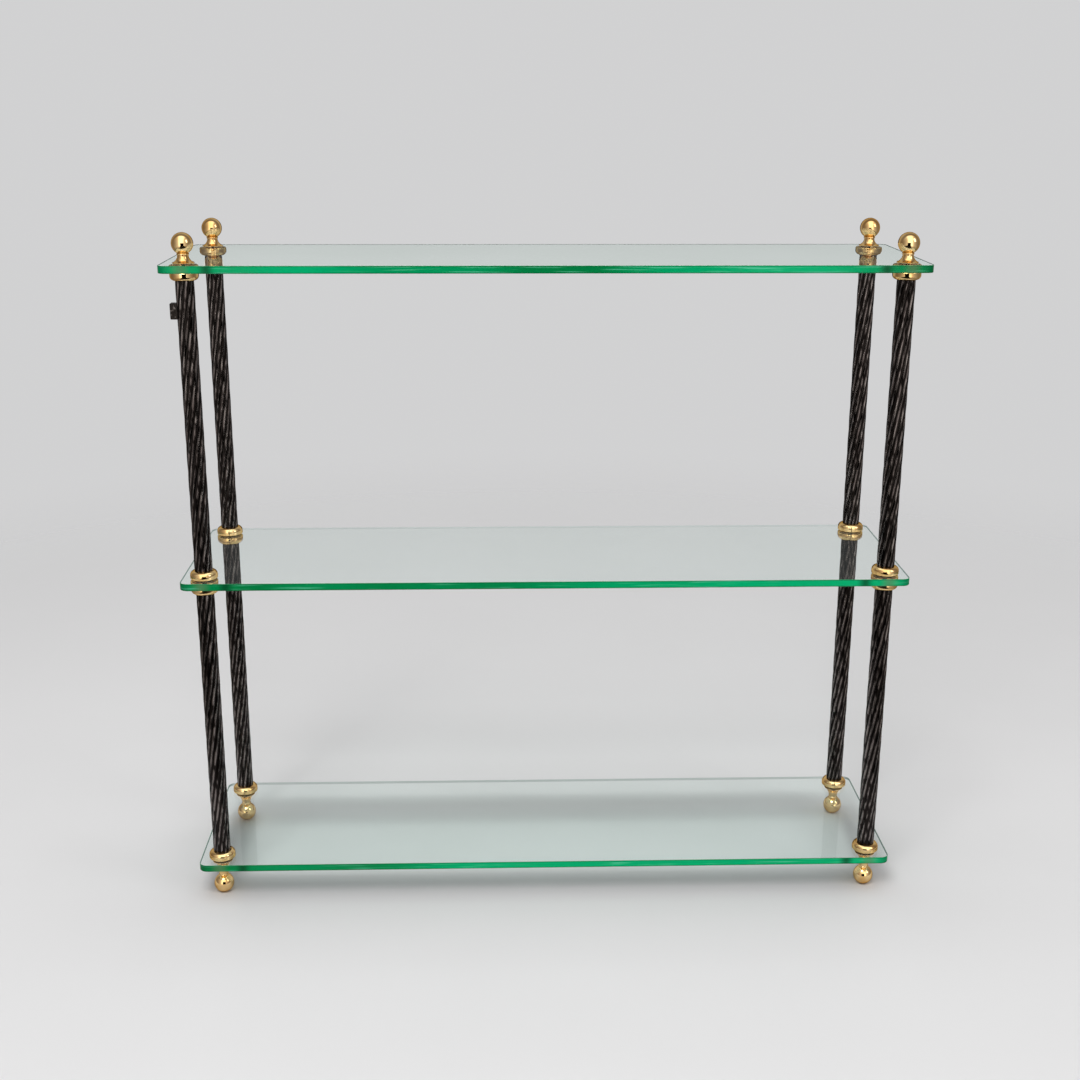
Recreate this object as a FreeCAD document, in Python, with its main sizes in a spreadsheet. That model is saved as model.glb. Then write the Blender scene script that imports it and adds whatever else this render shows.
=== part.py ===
import FreeCAD, Part
import math
import operator
import os
import types

import Sketcher

# An etagere: three glass shelves clamped on four posts of turned brass and twisted, fluted columns.
# Origin at the middle of the floor under it, +X to the right, +Y to the rear, +Z up. Millimetres.

DRIVING_SIZES = (
    ("shelf_width", 600, "glass shelf, left to right"),
    ("shelf_depth", 160, "glass shelf, front to rear"),
    ("glass_thickness", 6, "glass shelf"),
    ("corner_radius", 7, "rounded upright corners of the glass"),
    ("glass_arris", 0.5, "bevel along the ground edges of the glass"),
    ("glass_hole_gap", 0.75, "room round the rod in the glass, on the radius"),
    ("shelf_gap", 250, "clear height between two shelves"),
    ("post_inset_x", 18, "shelf end to post axis"),
    ("post_inset_y", 16.5, "shelf front or rear edge to post axis"),
    ("washer_thickness", 0.4, "washers between brass and glass"),
    ("washer_dia", 15, "washers against a finial or a foot"),
    ("rim_washer_dia", 20.4, "washers against a collar's rim"),
    ("collar_dia", 22.4, "collar at its rim"),
    ("collar_foot_dia", 15.8, "collar where a column meets it"),
    ("collar_height", 6.4, "collar, column to rim"),
    ("collar_shoulder", 3.6, "column to the level where the collar's bowl turns upright"),
    ("collar_edge", 0.6, "bevel round the collar's rim"),
    ("column_dia", 14.8, "column over the ridges between its flutes"),
    ("flute_count", 12, "flutes round a column"),
    ("flute_depth", 0.7, "ridge to flute bottom"),
    ("column_wall", 2, "flute bottom to the column's bore"),
    ("twist_lead", 264, "height in which a flute goes once round"),
    ("ball_dia", 17, "balls of the finials and feet"),
    ("ring_height", 1.5, "bead between neck and ball"),
    ("ring_bulge", 0.5, "how far the bead stands out from the neck"),
    ("turned_base_dia", 17, "finials and feet where they meet the washers"),
    ("turned_lip", 0.5, "upright edge of that base"),
    ("finial_rise", 15, "base of a finial to its ball's centre"),
    ("finial_neck_dia", 8.6, "narrowest part of a finial's neck"),
    ("foot_drop", 18.8, "base of a foot to its ball's centre"),
    ("foot_neck_dia", 7.5, "narrowest part of a foot's neck"),
    ("foot_flat_dia", 5, "flat that a foot stands on"),
    ("rod_dia", 5, "tie rod"),
    ("rod_gap", 0.4, "room round the rod in the collars, on the radius"),
    ("thread_gap", 0.1, "room round the rod in the finials and feet, on the radius"),
    ("thread_depth", 9, "how far the rod reaches into a finial or a foot"),
    ("thread_runout", 1, "how much deeper than the rod its hole goes"),
    ("lug_reach", 5, "lug, out from the column's ridges"),
    ("lug_width", 6, "lug, front to rear"),
    ("lug_height", 12.5, "lug, top to bottom"),
    ("lug_drop", 24.4, "underside of the top shelf to the lug's top"),
    ("lug_edge", 0.6, "bevel round the lug's outer face"),
    ("lug_gap", 0.1, "lug to the column's ridges"),
)

SHELVES = ("bottom", "middle", "top")
SIDES = {"left": -1, "right": 1}
ROWS = {"front": -1, "rear": 1}

OPERATIONS = {"+": operator.add, "-": operator.sub, "*": operator.mul, "/": operator.truediv}


class Size:
    """A length that knows its value and the sheet expression that gives it."""

    def __init__(self, value, text):
        self.value = value
        self.text = text

    def __add__(self, other):
        return combined(self, "+", other)

    def __sub__(self, other):
        return combined(self, "-", other)

    def __rsub__(self, other):
        return combined(other, "-", self)

    def __mul__(self, other):
        return combined(self, "*", other)

    def __truediv__(self, other):
        return combined(self, "/", other)


def sized(length):
    """A plain number as a Size."""
    return length if isinstance(length, Size) else Size(float(length), repr(float(length)))


def combined(left, sign, right):
    left = sized(left)
    right = sized(right)
    value = OPERATIONS[sign](left.value, right.value)
    return Size(value, f"({left.text} {sign} {right.text})")


def leg(hypotenuse, other_leg):
    """The third side of a right-angled triangle."""
    square = hypotenuse * hypotenuse - other_leg * other_leg
    return Size(math.sqrt(square.value), f"sqrt({square.text})")


def arc_radius(side_step, square_step):
    """Radius of the arc that starts square to side_step and ends side_step and square_step away."""
    return (side_step * side_step + square_step * square_step) / (side_step * 2)


def make_sheet(doc):
    """The sheet of driving sizes, and the sizes by name."""
    sheet = doc.addObject("Spreadsheet::Sheet", "sizes")
    for row, (name, value, note) in enumerate(DRIVING_SIZES, start=1):
        sheet.set(f"A{row}", name)
        sheet.set(f"B{row}", str(value))
        sheet.set(f"C{row}", note)
        sheet.setAlias(f"B{row}", name)
    doc.recompute()
    return types.SimpleNamespace(
        **{name: Size(float(sheet.get(name)), f"{sheet.Name}.{name}") for name, _, _ in DRIVING_SIZES})


def bind(feature, **sizes):
    """Binds properties of a feature to the sheet."""
    for name, length in sizes.items():
        feature.setExpression(name, sized(length).text)


def place(piece, x, y, z):
    """Puts a piece's own origin at a point given in sheet sizes."""
    for axis, length in (("x", x), ("y", y), ("z", z)):
        piece.setExpression(f"Placement.Base.{axis}", sized(length).text)


def new_body(doc, name):
    body = doc.addObject("PartDesign::Body", name)
    body.Label = name
    return body


def new_sketch(body, name, role):
    """A sketch on one of the body's own origin planes."""
    sketch = body.newObject("Sketcher::SketchObject", name)
    plane = next(feature for feature in body.Origin.OriginFeatures if feature.Role == role)
    sketch.AttachmentSupport = [(plane, "")]
    sketch.MapMode = "FlatFace"
    return sketch


def pin(sketch, geometry, end, point, tag):
    """Ties one point of a sketched curve to a place given in sheet sizes, where 0 is on the axis."""
    for across, kind, length in ((-2, "DistanceX", point[0]), (-1, "DistanceY", point[1])):
        if not isinstance(length, Size):
            sketch.addConstraint(Sketcher.Constraint("PointOnObject", geometry, end, across))
            continue
        ends = (-1, 1, geometry, end)
        if length.value < 0:
            ends = (geometry, end, -1, 1)
            length = 0 - length
        index = sketch.addConstraint(Sketcher.Constraint(kind, *ends, length.value))
        sketch.renameConstraint(index, f"{tag}_{kind}")
        sketch.setExpression(f"Constraints.{tag}_{kind}", length.text)


def set_radius(sketch, geometry, radius, tag):
    index = sketch.addConstraint(Sketcher.Constraint("Radius", geometry, radius.value))
    sketch.renameConstraint(index, f"{tag}_radius")
    sketch.setExpression(f"Constraints.{tag}_radius", radius.text)


def vector(point):
    return FreeCAD.Vector(sized(point[0]).value, sized(point[1]).value, 0)


def arc_curve(start, end, radius, turn):
    """A circular arc from start to end, where turn is 1 for anticlockwise and -1 for clockwise."""
    chord = end - start
    half = chord.Length / 2
    across = FreeCAD.Vector(-chord.y, chord.x, 0).normalize()
    centre = start + chord / 2 + across * (turn * math.sqrt(radius * radius - half * half))
    first, last = (start, end) if turn > 0 else (end, start)
    angles = [math.atan2((p - centre).y, (p - centre).x) for p in (first, last)]
    circle = Part.Circle(centre, FreeCAD.Vector(0, 0, 1), radius)
    return Part.ArcOfCircle(circle, angles[0], angles[1])


def draw_outline(sketch, corners):
    """Draws a closed outline. Each corner is (x, y) with a straight run to the next corner, or
    (x, y, radius, turn) with an arc to the next corner."""
    runs = []
    for index, corner in enumerate(corners):
        start = vector(corner)
        end = vector(corners[(index + 1) % len(corners)])
        if len(corner) == 2:
            geometry = sketch.addGeometry(Part.LineSegment(start, end), False)
            runs.append((geometry, 1, 2))
        else:
            radius, turn = corner[2:]
            geometry = sketch.addGeometry(arc_curve(start, end, radius.value, turn), False)
            runs.append((geometry, 1, 2) if turn > 0 else (geometry, 2, 1))
    for index, (geometry, first, _) in enumerate(runs):
        before, _, last = runs[index - 1]
        sketch.addConstraint(Sketcher.Constraint("Coincident", before, last, geometry, first))
    for index, corner in enumerate(corners):
        geometry, first, _ = runs[index]
        pin(sketch, geometry, first, corner, f"corner{index}")
        if len(corner) > 2:
            set_radius(sketch, geometry, corner[2], f"run{index}")


def draw_circle(sketch, centre, radius, tag):
    circle = Part.Circle(vector(centre), FreeCAD.Vector(0, 0, 1), radius.value)
    geometry = sketch.addGeometry(circle, False)
    pin(sketch, geometry, 3, centre, tag)
    set_radius(sketch, geometry, radius, tag)


def turn_profile(doc, name, corners):
    """A body of revolution about its own upright axis, from corners of (radius, height)."""
    body = new_body(doc, name)
    sketch = new_sketch(body, f"{name}_profile", "XZ_Plane")
    draw_outline(sketch, corners)
    turning = body.newObject("PartDesign::Revolution", f"{name}_turning")
    turning.Profile = sketch
    turning.ReferenceAxis = (sketch, ["V_Axis"])
    turning.Angle = 360
    return body


def pad_sketch(body, sketch, height):
    pad = body.newObject("PartDesign::Pad", f"{body.Name}_pad")
    pad.Profile = sketch
    bind(pad, Length=height)
    return pad


def make_shelf(doc, size, level, posts):
    """A rounded glass plate with a hole at each post and a bevel along its ground edges."""
    body = new_body(doc, f"{SHELVES[level]}_shelf")
    x = size.shelf_width / 2
    y = size.shelf_depth / 2
    r = size.corner_radius
    sketch = new_sketch(body, f"{body.Name}_outline", "XY_Plane")
    draw_outline(sketch, [
        (r - x, 0 - y), (x - r, 0 - y, r, 1),
        (x, r - y), (x, y - r, r, 1),
        (x - r, y), (r - x, y, r, 1),
        (0 - x, y - r), (0 - x, r - y, r, 1)])
    for name, centre in posts.items():
        draw_circle(sketch, centre, size.rod_dia / 2 + size.glass_hole_gap, name)
    pad = pad_sketch(body, sketch, size.glass_thickness)
    doc.recompute()
    ground = [f"Edge{index}" for index, edge in enumerate(pad.Shape.Edges, start=1)
              if not edge.isClosed() and edge.BoundBox.ZLength < size.glass_thickness.value / 2]
    bevel = body.newObject("PartDesign::Chamfer", f"{body.Name}_arris")
    bevel.Base = (pad, ground)
    bind(bevel, Size=size.glass_arris)
    return body


def make_washers(doc, name, size, outer_dia, posts):
    """Four flat washers, one at each post."""
    body = new_body(doc, name)
    sketch = new_sketch(body, f"{name}_rings", "XY_Plane")
    for post, centre in posts.items():
        draw_circle(sketch, centre, outer_dia / 2, f"{post}_outer")
        draw_circle(sketch, centre, size.rod_dia / 2 + size.glass_hole_gap, f"{post}_inner")
    body.AllowCompound = True
    pad_sketch(body, sketch, size.washer_thickness)
    return body


def stand_on_head(body):
    """Turns a piece upside down about its own origin."""
    body.Placement = FreeCAD.Placement(FreeCAD.Vector(), FreeCAD.Rotation(FreeCAD.Vector(1, 0, 0), 180))


def make_collar(doc, name, size):
    """A turned cup: a bowl that widens from the column to an upright rim against the glass above it."""
    hole = size.rod_dia / 2 + size.rod_gap
    foot = size.collar_foot_dia / 2
    rim = size.collar_dia / 2
    top = size.collar_height
    bowl = arc_radius(rim - foot, size.collar_shoulder)
    return turn_profile(doc, name, [
        (hole, 0), (foot, 0, bowl, 1),
        (rim, size.collar_shoulder), (rim, top - size.collar_edge),
        (rim - size.collar_edge, top), (hole, top)])


def turned_ball(size, rise, neck_dia):
    """The profile that finials and feet share, from their base up to the ball, without the ball's end."""
    hole = size.rod_dia / 2 + size.thread_gap
    base = size.turned_base_dia / 2
    neck = neck_dia / 2
    ball = size.ball_dia / 2
    ring_top = rise - leg(ball, neck)
    ring_bottom = ring_top - size.ring_height
    flare = arc_radius(base - neck, ring_bottom - size.turned_lip)
    bead = arc_radius(size.ring_bulge, size.ring_height / 2)
    return [
        (hole, 0), (base, 0),
        (base, size.turned_lip, flare, -1),
        (neck, ring_bottom, bead, 1),
        (neck, ring_top, ball, 1)]


def drilled_end(size):
    """The end of the blind hole that takes the rod, at the axis and at the hole's wall."""
    depth = size.thread_depth + size.thread_runout
    return [(0, depth), (size.rod_dia / 2 + size.thread_gap, depth)]


def make_finial(doc, name, size):
    stem = turned_ball(size, size.finial_rise, size.finial_neck_dia)
    tip = [(0, size.finial_rise + size.ball_dia / 2)]
    return turn_profile(doc, name, stem + tip + drilled_end(size))


def ball_to_flat(size):
    """Centre of a foot's ball to the flat that the foot stands on."""
    return leg(size.ball_dia / 2, size.foot_flat_dia / 2)


def make_foot(doc, name, size):
    """A ball on a long neck, stood on its head, with a small flat turned on the ball."""
    flat = size.foot_drop + ball_to_flat(size)
    stem = turned_ball(size, size.foot_drop, size.foot_neck_dia)
    tip = [(size.foot_flat_dia / 2, flat), (0, flat)]
    body = turn_profile(doc, name, stem + tip + drilled_end(size))
    stand_on_head(body)
    return body


def make_twist(doc, size, length):
    """The line that a ridge follows round every column."""
    helix = doc.addObject("Part::Helix", "ridge_line")
    bind(helix, Pitch=size.twist_lead, Height=length, Radius=size.column_dia / 2)
    return helix


def make_column(doc, name, size, length, twist):
    """A tube whose section, hollowed into flutes all round, turns steadily as it rises."""
    body = new_body(doc, name)
    section = new_sketch(body, f"{name}_section", "XY_Plane")
    ridge = size.column_dia / 2
    flutes = int(size.flute_count.value)
    step = 2 * math.pi / flutes
    bottom = ridge - size.flute_depth
    hollow_radius = arc_radius(ridge * math.cos(step / 2) - bottom, ridge * math.sin(step / 2))
    off_axis = 0.125  # share of a step that keeps every ridge clear of the sketch's axes
    ridges = []
    for index in range(flutes):
        angle = step * (index + off_axis)
        ridges.append((ridge * math.cos(angle), ridge * math.sin(angle), hollow_radius, -1))
    draw_outline(section, ridges)
    axis = new_sketch(body, f"{name}_axis", "XZ_Plane")
    line = axis.addGeometry(Part.LineSegment(vector((0, 0)), vector((0, length))), False)
    axis.addConstraint(Sketcher.Constraint("Coincident", line, 1, -1, 1))
    pin(axis, line, 2, (0, length), "top")
    doc.recompute()
    shaft = body.newObject("PartDesign::AdditivePipe", f"{name}_shaft")
    shaft.Profile = section
    shaft.Spine = axis
    shaft.Mode = "Auxiliary"
    shaft.AuxiliarySpine = twist
    shaft.AuxiliaryCurvilinear = False
    hollow = new_sketch(body, f"{name}_hollow", "XY_Plane")
    draw_circle(hollow, (0, 0), bottom - size.column_wall, "bore")
    bore = body.newObject("PartDesign::Pocket", f"{name}_bore")
    bore.Profile = hollow
    bore.Type = "ThroughAll"
    bore.Reversed = True
    return body


def make_rod(doc, name, size, length):
    rod = doc.addObject("Part::Cylinder", name)
    rod.Label = name
    bind(rod, Radius=size.rod_dia / 2, Height=length)
    return rod


def make_lug(doc, size):
    """A small block, hollowed on its inner side to sit against the ridges of a column."""
    body = new_body(doc, "side_lug")
    seat = size.column_dia / 2 + size.lug_gap
    half = size.lug_width / 2
    inner = leg(seat, half)
    outer = size.column_dia / 2 + size.lug_reach
    sketch = new_sketch(body, "side_lug_outline", "XY_Plane")
    draw_outline(sketch, [
        (0 - outer, half), (0 - outer, 0 - half),
        (0 - inner, 0 - half, seat, -1), (0 - inner, half)])
    pad = pad_sketch(body, sketch, size.lug_height)
    doc.recompute()
    face = min(range(len(pad.Shape.Faces)), key=lambda index: pad.Shape.Faces[index].CenterOfMass.x)
    bevel = body.newObject("PartDesign::Chamfer", "side_lug_edge")
    bevel.Base = (pad, [f"Face{face + 1}"])
    bind(bevel, Size=size.lug_edge)
    return body


def make_etagere(doc, size):
    """Builds every piece in its place and returns the pieces."""
    x = size.shelf_width / 2 - size.post_inset_x
    y = size.shelf_depth / 2 - size.post_inset_y
    posts = {f"{row}_{side}": (x * SIDES[side], y * ROWS[row]) for row in ROWS for side in SIDES}
    foot_z = size.foot_drop + ball_to_flat(size)
    pitch = size.shelf_gap + size.glass_thickness
    shelf_z = [foot_z + size.washer_thickness + pitch * level for level in range(len(SHELVES))]
    seat_z = [z + size.glass_thickness + size.washer_thickness for z in shelf_z]
    column_length = size.shelf_gap - (size.washer_thickness + size.collar_height) * 2
    rod_length = seat_z[-1] - foot_z + size.thread_depth * 2
    twist = make_twist(doc, size, column_length)
    pieces = []

    def add(piece, x, y, z):
        place(piece, x, y, z)
        pieces.append(piece)

    for level, shelf in enumerate(SHELVES):
        add(make_shelf(doc, size, level, posts), 0, 0, shelf_z[level])
        over = size.rim_washer_dia if shelf != "top" else size.washer_dia
        under = size.rim_washer_dia if shelf != "bottom" else size.washer_dia
        add(make_washers(doc, f"washers_over_{shelf}", size, over, posts),
            0, 0, seat_z[level] - size.washer_thickness)
        add(make_washers(doc, f"washers_under_{shelf}", size, under, posts),
            0, 0, shelf_z[level] - size.washer_thickness)
    for post, (x, y) in posts.items():
        add(make_foot(doc, f"foot_{post}", size), x, y, foot_z)
        add(make_finial(doc, f"finial_{post}", size), x, y, seat_z[-1])
        add(make_rod(doc, f"tie_rod_{post}", size, rod_length), x, y, foot_z - size.thread_depth)
        for level, stretch in enumerate(("lower", "upper")):
            column_z = seat_z[level] + size.collar_height
            collar = make_collar(doc, f"collar_over_{SHELVES[level]}_{post}", size)
            stand_on_head(collar)
            add(collar, x, y, column_z)
            add(make_column(doc, f"{stretch}_column_{post}", size, column_length, twist), x, y, column_z)
            add(make_collar(doc, f"collar_under_{SHELVES[level + 1]}_{post}", size),
                x, y, column_z + column_length)
    x, y = posts["front_left"]
    add(make_lug(doc, size), x, y, shelf_z[-1] - size.lug_drop - size.lug_height)
    return pieces


def check(doc, pieces):
    """Stops if any step of the model failed or a piece isn't a sound solid."""
    failed = [item.Name for item in doc.Objects if {"Invalid", "Error"} & set(item.State)]
    if failed:
        raise RuntimeError(f"these steps failed: {failed}")
    for piece in pieces:
        if piece.Shape.isNull() or not piece.Shape.isValid() or not piece.Shape.Solids:
            raise RuntimeError(f"{piece.Label} isn't a sound solid")


def main():
    doc = FreeCAD.newDocument("etagere")
    size = make_sheet(doc)
    pieces = make_etagere(doc, size)
    doc.recompute()
    check(doc, pieces)
    os.makedirs("parts", exist_ok=True)
    for piece in pieces:
        piece.Shape.exportStep(f"parts/{piece.Label}.step")


main()
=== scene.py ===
import math

import bmesh
import bpy
from bpy.props import FloatProperty, FloatVectorProperty, IntProperty, PointerProperty
from mathutils import Matrix, Vector


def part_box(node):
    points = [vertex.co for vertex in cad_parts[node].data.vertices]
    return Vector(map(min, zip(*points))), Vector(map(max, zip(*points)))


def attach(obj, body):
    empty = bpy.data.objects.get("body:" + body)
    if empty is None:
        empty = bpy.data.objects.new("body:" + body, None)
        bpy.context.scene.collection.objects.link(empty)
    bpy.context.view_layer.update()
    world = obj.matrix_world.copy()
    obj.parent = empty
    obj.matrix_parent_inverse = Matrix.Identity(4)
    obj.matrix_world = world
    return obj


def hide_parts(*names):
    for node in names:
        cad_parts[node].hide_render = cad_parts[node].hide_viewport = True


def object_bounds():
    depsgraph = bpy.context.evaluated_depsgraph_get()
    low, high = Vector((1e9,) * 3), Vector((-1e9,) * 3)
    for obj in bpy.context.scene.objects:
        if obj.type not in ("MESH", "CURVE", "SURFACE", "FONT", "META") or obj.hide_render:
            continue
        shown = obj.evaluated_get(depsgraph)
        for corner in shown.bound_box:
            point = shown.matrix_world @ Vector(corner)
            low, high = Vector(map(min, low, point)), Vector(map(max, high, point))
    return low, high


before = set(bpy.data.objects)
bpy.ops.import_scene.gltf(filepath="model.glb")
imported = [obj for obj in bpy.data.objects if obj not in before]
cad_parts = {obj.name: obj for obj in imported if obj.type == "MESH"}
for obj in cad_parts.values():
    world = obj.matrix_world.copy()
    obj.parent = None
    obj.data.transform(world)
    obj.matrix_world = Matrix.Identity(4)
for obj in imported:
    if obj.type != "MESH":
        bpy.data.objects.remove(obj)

# Looks of an etagere: glass shelves with green edges on posts of turned brass and spiral dark columns.
# Metres, in the frame of the packed part: +X to the right, +Y to the rear, +Z up from the floor.

bl_info = {
    "name": "Etagere looks",
    "version": (1, 0, 0),
    "blender": (4, 5, 0),
    "location": "3D View > Sidebar > Etagere",
    "description": "Dresses the frame of an etagere with glass, turned brass and spiral columns",
    "category": "Object",
}

CAD_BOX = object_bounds()
BODY = "root"
SHELVES = ("bottom", "middle", "top")
STRETCHES = ("lower", "upper")
POSTS = tuple(f"{row}_{side}" for row in ("front", "rear") for side in ("left", "right"))
COLLAR_PLACES = ("over_bottom", "under_middle", "over_middle", "under_top")
LAMPS_IN_SHINE = {"key": False, "side": True, "top": False}
MM = 0.001
MERGE_DISTANCE = 1e-6
SHARP_ANGLE = math.radians(32)
GLASS_IOR = 1.5

# Steps in each kind of curve
CORNER_STEPS = 10
TURNED_STEPS = 72
BOWL_STEPS = 12
COLLAR_EDGE_STEPS = 4
FLARE_STEPS = 14
BEAD_STEPS = 8
BALL_STEPS = 30
FLOOR_STEPS = 64

# Sockets of a mix node that take and give colours
MIX_FIRST, MIX_SECOND, MIX_RESULT = 6, 7, 2


def length(name, description, millimetres):
    """A size that a user may change, written here in millimetres."""
    return FloatProperty(name=name, description=description, default=millimetres * MM,
                         unit="LENGTH", subtype="DISTANCE", precision=5)


def location(name, description, metres):
    """A place that a user may change."""
    return FloatVectorProperty(name=name, description=description, default=metres,
                               subtype="XYZ", unit="LENGTH")


def angle(name, description, radians):
    """An angle that a user may change."""
    return FloatProperty(name=name, description=description, default=radians, subtype="ANGLE")


def power(name, description, watts):
    """A lamp's power that a user may change."""
    return FloatProperty(name=name, description=description, default=watts, subtype="POWER")


def colour(name, description, red_green_blue, most=1):
    """A colour that a user may change; one that glows may go past 1."""
    return FloatVectorProperty(name=name, description=description, default=red_green_blue,
                               subtype="COLOR", size=3, min=0, max=most)


class GlassLook(bpy.types.PropertyGroup):
    """Sizes and colours of the glass shelves"""
    corner_radius: length("Corner radius", "Rounded upright corners of a shelf", 7)
    arris_width: length("Arris width", "Bevel along the ground edges of a shelf", 0.25)
    # The dark patch beside a post is painted shade in the green edge.
    patch_offset: length("Patch offset", "Post to the dark patch beside it in the green edge", 20)
    patch_width: length("Patch width", "Half the width of that dark patch", 8)
    painted_glimpse_width: length("Glimpse width", "Half the width of the glimpse of a post in the green edge", 9)
    gather_width: length("Gather width", "Width of the border whose light is gathered into an edge", 30)
    tint: colour("Tint", "What the glass lets through", (0.93, 0.975, 0.96))
    shade: colour("Shade", "How much of the lamps' light a face lets through", (0.95, 0.98, 0.97))
    shade_near_edge: colour("Border shade", "The same in the border along the edges", (0.06, 0.07, 0.065))
    # Painted light: the green edge is painted brighter or dimmer in stretches, as if it gathered more or less
    # light.
    edge_painted_bright: colour("Bright edge", "Polished edge where it gathers most light", (0.001, 0.54, 0.20))
    edge_painted_dim: colour("Deep edge", "Polished edge where it gathers least light", (0.001, 0.25, 0.065))
    # Painted shade: darker green at the edge's rims, at its ends and in a patch beside each post.
    edge_painted_shade: colour("Dark edge", "Polished edge at its rims, ends and posts", (0.001, 0.07, 0.022))
    # Painted highlight: pale glints painted into the green edge.
    edge_painted_glint: colour("Edge glint", "Pale lines of light in the polished edge", (0.16, 0.78, 0.50))
    edge_inside: colour("Inner edge", "What an edge lets through, seen through the shelf", (0.80, 0.87, 0.85))
    end_inside: colour("Inner end", "What the short ends let through, seen so", (0.16, 0.26, 0.23))
    arris: colour("Arris", "Ground bevel along the edges", (0.02, 0.34, 0.13))
    arris_inside: colour("Inner arris", "What the bevel lets through, seen so", (0.42, 0.47, 0.45))
    # Painted reflection: the brass and rod of a post, painted into the green edge in front of it.
    painted_post_glimpse: colour("Glimpse of a post", "Brass and rod showing through the edge", (0.16, 0.26, 0.13))


class BrassLook(bpy.types.PropertyGroup):
    """Sizes and colours of the turned brass"""
    collar_foot: length("Collar foot", "Diameter of a collar where a column meets it", 15.8)
    collar_shoulder: length("Collar shoulder", "Column to the level where a collar's bowl turns upright", 3.6)
    collar_edge: length("Collar edge", "Rounding of a collar's rim", 0.6)
    rod_hole: length("Rod hole", "Diameter of the hole through a collar", 5.8)
    thread_hole: length("Thread hole", "Diameter of the blind hole in a finial or foot", 5.2)
    thread_depth: length("Thread depth", "Depth of that blind hole", 10)
    ball: length("Ball", "Diameter of the ball of a finial or foot", 17)
    base: length("Base", "Diameter of a finial or foot where it meets the glass", 17)
    lip: length("Lip", "Upright edge of that base", 0.5)
    finial_neck: length("Finial neck", "Diameter of a finial at its narrowest", 8.6)
    foot_neck: length("Foot neck", "Diameter of a foot at its narrowest", 7.5)
    bead_height: length("Bead height", "Bead between neck and ball", 1.5)
    bead_bulge: length("Bead bulge", "How far the bead stands out from the neck", 0.5)
    foot_flat: length("Foot flat", "Diameter of the flat that a foot stands on", 5)
    gold: colour("Gold", "Clean polished brass", (0.90, 0.65, 0.32))
    tarnish: colour("Tarnish", "Brass that has dulled", (0.76, 0.47, 0.18))
    rim: colour("Rim", "Brass seen at a low slant", (0.62, 0.42, 0.22))


class ColumnLook(bpy.types.PropertyGroup):
    """Sizes and colours of the spiral columns"""
    flute_count: IntProperty(name="Flutes", description="Flutes round a column", default=12, min=3)
    flute_depth: length("Flute depth", "Ridge to flute bottom", 0.7)
    wall: length("Wall", "Flute bottom to the bore", 2)
    lead: length("Lead", "Height in which a flute goes once round", 264)
    flute: colour("Flute", "Dark patina in the flutes", (0.014, 0.011, 0.010))
    ridge: colour("Ridge", "Rubbed metal on the ridges", (0.26, 0.225, 0.215))


class FittingLook(bpy.types.PropertyGroup):
    """Colours of the rods and washers"""
    steel_dark: colour("Dark steel", "Darkest of the drawn lines along a rod", (0.36, 0.36, 0.37))
    steel_light: colour("Light steel", "Brightest of those lines", (0.58, 0.58, 0.59))
    pad_dark: colour("Dark pad", "Darkest of a washer's mottle", (0.50, 0.52, 0.47))
    pad_light: colour("Light pad", "Brightest of that mottle", (0.66, 0.67, 0.62))
    pad_clearness: FloatProperty(name="Clear pad", description="How clear a washer is", default=0.88,
                                 min=0, max=1)


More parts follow.
